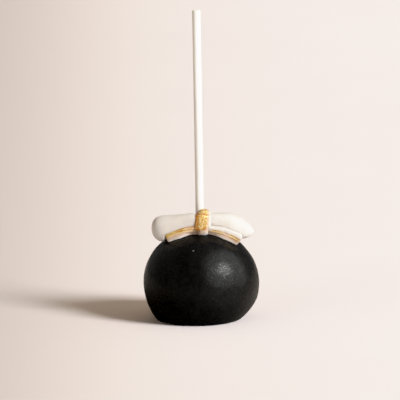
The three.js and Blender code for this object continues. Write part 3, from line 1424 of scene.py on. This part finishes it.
@dataclass
class BowLoops(Piece):
    """Both loops and the waist between them: one plump, hand-modelled form lying on the ball."""

    form: BallForm
    tails: tuple[RibbonTail, ...]
    middle_x: float = 0.85 * MM
    half_length: float = 20.35 * MM
    roundness: float = 2.15
    sweep: float = 0.6 * MM
    drop_power: float = 1.3
    flare_start: float = 0.05
    flare_end: float = 0.85
    waist: LoopSize = LoopSize(2.6 * MM, 2.3 * MM, -5.4 * MM, 40.9 * MM)
    left: LoopSize = LoopSize(5.4 * MM, 4.5 * MM, -2.6 * MM, 37.0 * MM, 6.2 * MM)
    right: LoopSize = LoopSize(5.4 * MM, 4.4 * MM, -2.6 * MM, 37.4 * MM, 9.6 * MM, 1.7, 2.3 * MM)
    around: int = 112
    along: int = 168
    pleats: int = 5
    pleat_depth: float = 0.16 * MM
    pleat_reach: float = 0.5
    pleat_shift: float = 1.0
    dip_x: float = -8.7 * MM
    dip_width: float = 2.6 * MM
    dip_depth: float = 0.06 * MM
    lump_size: float = 6.0 * MM
    lump_height: float = 0.2 * MM
    contact_width: float = 0.5 * MM
    press: float = 0.12 * MM
    tail_margin: float = 1.2 * MM

    node = "bow_loops"
    slot = Slot.PASTE

    def build(self) -> Shape:
        """Shapes a ball of paste, with its poles at the loops' ends, into the bow.

        Returns:
            The loops' shape.
        """
        shape = bmesh.new()
        bmesh.ops.create_uvsphere(shape, u_segments=self.around, v_segments=self.along, radius=1.0)
        bmesh.ops.rotate(shape, matrix=Matrix.Rotation(QUARTER_TURN, 3, "Y"), verts=shape.verts)
        for vertex in shape.verts:
            vertex.co = self._rested(self._modelled(vertex.co))
        return shape

    def finish(self) -> Finish:
        """Gives the plain paste."""
        return SugarPaste()

    def _modelled(self, unit: Vector) -> Vector:
        """Places a point of the ball of paste on the free bow.

        Args:
            unit: A point of a ball of radius 1.

        Returns:
            The point on the bow, as if nothing were under it.
        """
        loop = self.left if unit.x < 0 else self.right
        share = abs(unit.x)
        flare = smooth_step(share, self.flare_start, self.flare_end)
        into_cap = max(0.0, 1 - (1 - share) * self.half_length / loop.cap)
        closing = (1 - into_cap ** loop.fullness) ** (1 / loop.fullness)
        turn = math.atan2(unit.z, unit.y)
        power = 2 / self.roundness
        gathered = 1 - smooth_step(share, self.flare_start, self.pleat_reach)
        shift = math.copysign(self.pleat_shift, unit.x)
        pleat = self.pleat_depth * gathered * math.cos(self.pleats * turn + shift)
        half_depth = between(self.waist.half_depth, loop.half_depth, flare) + pleat
        half_height = between(self.waist.half_height, loop.half_height, flare) + pleat
        past_pleats = max(0.0, share - self.pleat_reach) / (1 - self.pleat_reach)
        x = self.middle_x + unit.x * self.half_length
        y = between(self.waist.y, loop.y, flare) + self.sweep * past_pleats ** 2
        z = between(self.waist.z, loop.z, flare) - loop.tip_drop * into_cap ** self.drop_power
        upper = max(0.0, math.sin(turn))
        dip = self.dip_depth * swelling(x, self.dip_x, self.dip_width) * upper
        y += signed_power(math.cos(turn), power) * closing * half_depth
        z += signed_power(math.sin(turn), power) * closing * half_height - dip
        return self._lumpy(Vector((x, y, z)), Vector((0.0, math.cos(turn), math.sin(turn))), closing)

    def _lumpy(self, point: Vector, outward: Vector, closing: float) -> Vector:
        """Adds the unevenness of hand modelling.

        Args:
            point: A point of the smooth bow.
            outward: The direction away from the bow's middle line.
            closing: How far the end is still open there, from 0 to 1.

        Returns:
            The moved point.
        """
        height = self.lump_height * ripple(point, self.lump_size, Bumps.LOOP_LUMPS.value)
        return point + outward * closing * height

    def _rested(self, point: Vector) -> Vector:
        """Lifts a point clear of the ball and of the tails' tops.

        Args:
            point: A point of the free bow.

        Returns:
            The point on the resting bow.
        """
        support = self.form.top(point.x, point.y, CONTACT_GAP)
        for tail in self.tails:
            along, across, height = tail.cover(point.x, point.y)
            under = 1 - smooth_step(along, tail.length - self.contact_width, tail.length)
            under *= smooth_step(across, -2 * self.tail_margin, -self.tail_margin)
            under *= 1 - smooth_step(across, tail.width, tail.width + self.contact_width)
            under *= smooth_step(along, -self.tail_margin, 0.0)
            support = max(support, between(support, height - self.press, under))
        return Vector((point.x, point.y, soft_max(point.z, support, self.contact_width)))


@dataclass
class BowKnot(Piece):
    """The knot: a gilded strap over the waist, on a bare foot, leaning a little to the right."""

    form: BallForm
    half_width: float = 3.4 * MM
    half_depth: float = 3.4 * MM
    half_height: float = 6.1 * MM
    middle: Vector = Vector((0.85 * MM, -5.5 * MM, 39.0 * MM))
    foot_taper: float = 0.42
    foot_round: float = 2.4 * MM
    foot_curl: float = 1.8
    foot_tuck: Pair = (1.6 * MM, 1.1 * MM)
    lean: float = math.radians(4.3)
    squareness: float = 3.4
    roundness: float = 3.2
    around: int = 140
    upright: int = 120
    hem: float = -2.4 * MM
    hem_turn: float = -2.4 * MM
    hem_rise: float = 0.85 * MM
    hem_swell: float = 0.65 * MM
    hem_height: float = 0.75 * MM
    hem_edge: float = 0.3 * MM
    crease: float = 4.3 * MM
    crease_depth: float = 0.85 * MM
    crease_height: float = 0.35 * MM
    cap_inset: float = 1.5 * MM
    cap_start: float = 3.4 * MM
    fold: float = -2.1 * MM
    fold_depth: float = 0.3 * MM
    fold_width: float = 0.35 * MM
    bare_side: float = 1.6 * MM
    side_step: float = 0.15 * MM
    # A warm tint spreads onto the bare side; dust and painted shade go down the foot.
    side_tint_reach: float = 0.5 * MM
    foot_dust_and_shade: float = 1.9 * MM
    # Painted shade: the fold and crease bands deepen the gold on the strap's left side and in its crease;
    # the hem band is pooled paint.
    pool_and_shade_fade: float = 0.6 * MM
    fold_painted_shade: float = 0.65
    hem_pool: float = 0.5
    crease_painted_shade: float = 0.8
    # Painted shade: the brown laid on the foot's lower left.
    painted_shade_fade: float = 1.6 * MM
    painted_shade_share: float = 0.6
    crumple_size: float = 0.75 * MM
    crumple_height: float = 0.1 * MM

    node = "bow_knot"
    slot = Slot.GOLD
    ATTRIBUTE = "strap"

    def build(self) -> Shape:
        """Shapes an upright ball of paste into the strap and its foot.

        Returns:
            The knot's shape.
        """
        shape = bmesh.new()
        bmesh.ops.create_uvsphere(shape, u_segments=self.around, v_segments=self.upright, radius=1.0)
        stored = shape.verts.layers.float_vector.new(self.ATTRIBUTE)
        for vertex in shape.verts:
            strap = self._strapped(vertex.co)
            vertex[stored] = strap - Vector((0.0, 0.0, self._hem_lift(strap.x)))
            vertex.co = self._stood(strap)
        return shape

    def finish(self) -> Finish:
        """Gives the paste with gold on the strap, all but its right side and its foot, with painted shade
        on the strap's left side, in its crease and on the foot's lower left.

        Returns:
            The finish.
        """
        # The warm tan: a tint on the bare side, and dust and painted shade down the foot.
        bands = (
            Band(Axis.X, end=self.bare_side, dust_and_shade_past=self.side_tint_reach),
            Band(Axis.Z, self.hem, dust_and_shade_before=self.foot_dust_and_shade),
        )
        # Painted shade on the strap's left side and in its crease; the hem band is pooled paint.
        pools_and_painted_shade = (
            Band(Axis.X, end=self.fold, fade=self.pool_and_shade_fade, share=self.fold_painted_shade),
            Band(Axis.Z, self.hem, self.hem + self.hem_height, self.pool_and_shade_fade, self.hem_pool),
            Band(Axis.Z, self.crease - self.crease_height, self.crease, self.hem_edge, self.crease_painted_shade),
        )
        # Painted shade: the foot's lower left darkened to brown, where it turns from the light.
        painted_shade_bands = (
            Band(Axis.X, end=-self.bare_side, fade=self.painted_shade_fade, share=self.painted_shade_share),
            Band(Axis.Z, end=self.hem, fade=self.pool_and_shade_fade),
        )
        return GildedPaste(attribute=self.ATTRIBUTE, bands=bands, pools_and_painted_shade=pools_and_painted_shade, painted_shade_bands=painted_shade_bands)

    def _hem_lift(self, x: float) -> float:
        """Gives how far the hem turns up at a place across the strap."""
        return self.hem_rise * (max(0.0, x - self.hem_turn) / self.half_width) ** 2

    def _strapped(self, unit: Vector) -> Vector:
        """Places a point on the upright knot.

        Args:
            unit: A point of a ball of radius 1.

        Returns:
            The point from the knot's middle, before it leans.
        """
        power = 2 / self.squareness
        turn = math.atan2(unit.y, unit.x)
        size = signed_power(math.hypot(unit.x, unit.y), power)
        rise = signed_power(unit.z, power)
        z = rise * self.half_height
        taper = 1 - self.foot_taper * max(0.0, -rise)
        bow = 2 / self.roundness
        x = size * signed_power(math.cos(turn), bow) * self.half_width * taper
        y = size * signed_power(math.sin(turn), bow) * self.half_depth
        above_hem = z - self._hem_lift(x) - self.hem
        gilded = smooth_step(above_hem, -self.hem_edge, 0.0)
        strap = gilded * (1 - smooth_step(x, self.bare_side, self.bare_side + self.side_step))
        front = max(0.0, -math.sin(turn))
        upright = smooth_step(z, self.hem, self.hem + 2 * self.hem_height)
        upright *= 1 - smooth_step(z, self.cap_start, self.crease)
        crumple = ripple(Vector((x, y, z)), self.crumple_size, Bumps.KNOT_CRUMPLES.value)
        relief = (
            self.hem_swell * swelling(above_hem, self.hem_height, self.hem_height) * strap * front
            - self.crease_depth * swelling(z, self.crease, self.crease_height) * front
            - self.fold_depth * swelling(x, self.fold, self.fold_width) * front * upright
            + self.crumple_height * crumple * strap
        )
        inset = self.cap_inset * smooth_step(z, self.cap_start, self.half_height)
        x += inset * max(0.0, -x / self.half_width)
        return Vector((x + relief * size * math.cos(turn), y + relief * size * math.sin(turn), z))

    def _stood(self, strap: Vector) -> Vector:
        """Leans a point of the knot and stands it on the ball.

        Args:
            strap: A point from the knot's middle.

        Returns:
            The point's place.
        """
        point = self.middle + Matrix.Rotation(self.lean, 3, "Y") @ strap
        clearance = point.z - self.form.top(point.x, point.y)
        near = min(1.0, max(0.0, 1 - clearance / self.foot_round))
        forward = max(0.0, -strap.y / self.half_depth)
        tuck = between(*self.foot_tuck, smooth_step(strap.x, -self.half_width, self.bare_side))
        point.y += tuck * forward * near ** self.foot_curl
        point.z = max(point.z, self.form.top(point.x, point.y, CONTACT_GAP))
        return point


@dataclass(frozen=True)
class Viewpoint:
    """The photograph's view: a long lens, a little above, and tilted by about a degree."""

    elevation: float = math.radians(10.3)
    tilt: float = math.radians(0.985)
    distance: float = 4000 * MM
    picture_side: int = 400
    pixel: float = 0.3993 * MM
    ball_pixel: Pair = (201.5, 283.0)
    sensor: float = 36.0
    clip: Pair = (0.1, 50.0)

    def place(self, ball_centre: Vector) -> None:
        """Sets up the camera.

        Args:
            ball_centre: The ball's centre, which the photograph shows at ball_pixel.
        """
        back = Vector((0.0, -math.cos(self.elevation), math.sin(self.elevation)))
        turn = (-back).to_track_quat("-Z", "Y") @ Quaternion((0.0, 0.0, 1.0), -self.tilt)
        across = (self.ball_pixel[0] - self.picture_side / 2) * self.pixel
        down = (self.ball_pixel[1] - self.picture_side / 2) * self.pixel
        aim = ball_centre - turn @ Vector((across, -down, 0.0))
        data = bpy.data.cameras.new("camera")
        data.sensor_width = self.sensor
        data.lens = self.sensor * self.distance / (self.picture_side * self.pixel)
        data.clip_start, data.clip_end = self.clip
        camera = add_object("camera", data)
        camera.rotation_mode = "QUATERNION"
        camera.rotation_quaternion = turn
        camera.location = aim + back * self.distance
        bpy.context.scene.camera = camera


@dataclass(frozen=True)
class Lamp:
    """A far light that either lights the surfaces or only glints on them."""

    name: str
    source: Vector
    strength: float
    spread: float
    use: Lighting
    colour: Tint = (1.0, 0.995, 0.985)

    def hang(self) -> None:
        """Hangs the light."""
        data = bpy.data.lights.new(self.name, "SUN")
        data.energy = self.strength
        data.color = self.colour
        data.angle = self.spread
        light = add_object(self.name, data)
        light.rotation_mode = "QUATERNION"
        light.rotation_quaternion = (-self.source).to_track_quat("-Z", "Y")
        light.visible_diffuse = self.use is Lighting.SURFACES
        light.visible_glossy = self.use is Lighting.GLINTS


@dataclass(frozen=True)
class Studio:
    """A pale paper floor, a key and a fill light, three lights that only glint, and dim surroundings."""

    floor_half: float = 10.0
    floor_drop: float = 0.1 * MM
    lamps: tuple[Lamp, ...] = (
        Lamp("key_light", Vector((0.69, -0.545, 0.475)), 4.6, math.radians(20), Lighting.SURFACES),
        Lamp("shine_light", Vector((0.694, -0.4965, 0.522)), 1.8, math.radians(19), Lighting.GLINTS),
        Lamp("halo_light", Vector((0.785, -0.41, 0.465)), 3.95, math.radians(86), Lighting.GLINTS),
        Lamp("edge_light", Vector((-0.95, 0.22, 0.1)), 0.34, math.radians(100), Lighting.GLINTS),
        Lamp(
            "fill_light", Vector((-0.72, -0.69, 0.07)), 0.97, math.radians(40), Lighting.SURFACES,
            colour=(1.0, 0.93, 0.84),
        ),
    )
    bright_side: Vector = Vector((0.35, 0.6, 0.72))
    bright_reach: Pair = (-0.4, 1.0)
    dim_tone: Colour = (0.032, 0.024, 0.018, 1.0)
    bright_tone: Colour = (0.43, 0.335, 0.235, 1.0)
    mirrored: Colour = (0.14, 0.134, 0.127, 1.0)
    beyond: Colour = tone("f0e6de")
    black: float = 0.0046
    film: tuple[Pair, ...] = ((0.6, 0.6), (0.85, 0.845), (1.0, 0.93), (1.3, 0.98))
    film_reach: float = 2.0

    COMBINED_CURVE = 3

    def build(self, effects: SurfaceEffects) -> None:
        """Lays the floor, hangs the lights, sets the surroundings and loads the film.

        Args:
            effects: The shared surface effects.
        """
        self._floor(effects)
        for lamp in self.lamps:
            lamp.hang()
        self._surroundings()
        self._film()

    def _film(self) -> None:
        """Sets how light turns into tones, with a short toe and a long soft shoulder."""
        view = bpy.context.scene.view_settings
        view.view_transform = "Standard"
        view.use_curve_mapping = True
        film = view.curve_mapping
        film.black_level = (self.black,) * 3
        film.clip_max_x = self.film_reach
        points = film.curves[self.COMBINED_CURVE].points
        points[1].location = (self.film_reach, 1.0)
        for light, shown in self.film:
            points.new(light, shown)
        film.update()

    def _floor(self, effects: SurfaceEffects) -> None:
        """Lays the paper floor just under the ball.

        Args:
            effects: The shared surface effects.
        """
        shape = bmesh.new()
        bmesh.ops.create_grid(shape, x_segments=1, y_segments=1, size=self.floor_half)
        bmesh.ops.translate(shape, vec=(0.0, 0.0, -self.floor_drop), verts=shape.verts)
        floor = add_mesh("studio_floor", shape, StudioPaper().material("studio paper", effects))

    def _surroundings(self) -> None:
        """Sets a room that is brighter above and behind, with pale paper past the floor's edge."""
        world = bpy.data.worlds.new("studio")
        world.use_nodes = True
        graph = Graph(world.node_tree)
        graph.tree.nodes.clear()
        direction = graph.node("ShaderNodeTexCoord").outputs["Generated"]
        facing = graph.facing(direction, self.bright_side.normalized())
        share = graph.remap(facing, self.bright_reach, RISING)
        room = graph.colour_mix(share, self.dim_tone, self.bright_tone)
        path = graph.node("ShaderNodeLightPath").outputs
        glossed = graph.colour_mix(share, self.dim_tone, self.mirrored)
        room = graph.colour_mix(path["Is Glossy Ray"], room, glossed)
        shown = graph.colour_mix(path["Is Camera Ray"], room, self.beyond)
        glow = graph.node("ShaderNodeBackground", {"Color": shown})
        graph.node("ShaderNodeOutputWorld", {"Surface": glow.outputs["Background"]})
        bpy.context.scene.world = world


def bow_tails(form: BallForm) -> tuple[RibbonTail, RibbonTail]:
    """Sets out both tails from beside the knot outwards.

    Args:
        form: The ball that they lie on.

    Returns:
        The left tail and the right one.
    """
    left = RibbonTail(
        "tail_left", form,
        start=Vector((-2.9 * MM, -6.7 * MM)),
        end=Vector((-12.8 * MM, -5.2 * MM)),
        # Below the gold line the paste takes the warm tan: dust, painted reflection of the gold and painted
        # shade.
        paint=(
            Band(Axis.Z, 1.6 * MM, dust_and_shade_before=1.3 * MM),
            Band(Axis.Y, end=1.8 * MM),
        ),
        # Deeper orange lines on the gold: pooled paint and painted shade along the ridges.
        pools_and_painted_shade=(
            Band(Axis.Z, 2.75 * MM, fade=0.2 * MM, share=0.75),
            Band(Axis.Z, 2.0 * MM, 2.2 * MM, fade=0.15 * MM, share=0.75),
        ),
        rubbed=(Band(Axis.X, end=3.6 * MM, fade=1.6 * MM, share=0.5),),
        # Painted shade: the lower strip darkens to brown towards the knot, where its shade falls.
        painted_shade_bands=(
            Band(Axis.Z, end=1.1 * MM, fade=0.5 * MM, share=0.6),
            Band(Axis.X, end=2.2 * MM, fade=2.5 * MM),
        ),
        width=3.6 * MM,
        thickness=3.2 * MM,
        end_thickness=3.6 * MM,
        end_shrink=0.22,
        toe=(0.6 * MM, 1.1 * MM),
        toe_swell=1.0 * MM,
        tuck=1.9 * MM,
        line_relief=0.22 * MM,
    )
    right = RibbonTail(
        "tail_right", form,
        start=Vector((3.4 * MM, -7.5 * MM)),
        end=Vector((14.2 * MM, -7.1 * MM)),
        # Below the gold line the paste takes the warm tan: dust, and painted shade on the shaded strip.
        paint=(
            Band(Axis.Z, 1.4 * MM, 2.55 * MM, share=0.9, dust_and_shade_before=1.2 * MM, dust_and_shade_past=-0.8 * MM),
            Band(Axis.Y, end=0.35 * MM),
        ),
        # Deeper orange line on the gold: pooled paint and painted shade along the ridge.
        pools_and_painted_shade=(Band(Axis.Z, 2.3 * MM, fade=0.2 * MM, share=0.35),),
        rubbed=(
            Band(Axis.X, end=0.6 * MM, fade=0.8 * MM, share=0.8),
            Band(Axis.X, 4.6 * MM, 7.2 * MM, fade=1.0 * MM, share=0.75),
            Band(Axis.X, 10.5 * MM, fade=0.7 * MM, share=0.65),
        ),
        # Painted shade: the lower strip darkens to brown towards the knot, where its shade falls.
        painted_shade_bands=(
            Band(Axis.Z, end=1.4 * MM, fade=0.5 * MM, share=0.35),
            Band(Axis.X, end=2.0 * MM, fade=3.5 * MM),
        ),
        width=4.4 * MM,
        thickness=3.5 * MM,
        end_thickness=4.4 * MM,
        end_shrink=0.12,
        toe=(-0.4 * MM, 0.2 * MM),
        toe_swell=0.9 * MM,
        tuck=0.7 * MM,
        line_relief=0.13 * MM,
    )
    return left, right


def main() -> None:
    """Builds the studio and every piece of the cake pop."""
    logging.basicConfig(level=logging.INFO, format="%(name)s %(message)s")
    form = BallForm.from_frame()
    effects = SurfaceEffects()
    Viewpoint().place(Vector((0.0, 0.0, form.centre_z)))
    Studio().build(effects)
    ball = CakeBall(form)
    tails = bow_tails(form)
    for piece in (ball, SugarSpeck(ball), PaperStick(), *tails, BowLoops(form, tails), BowKnot(form)):
        made = piece.make(effects)
        LOG.info("%s: %d faces", made.name, len(made.data.polygons))


if __name__ == "__main__":
    main()
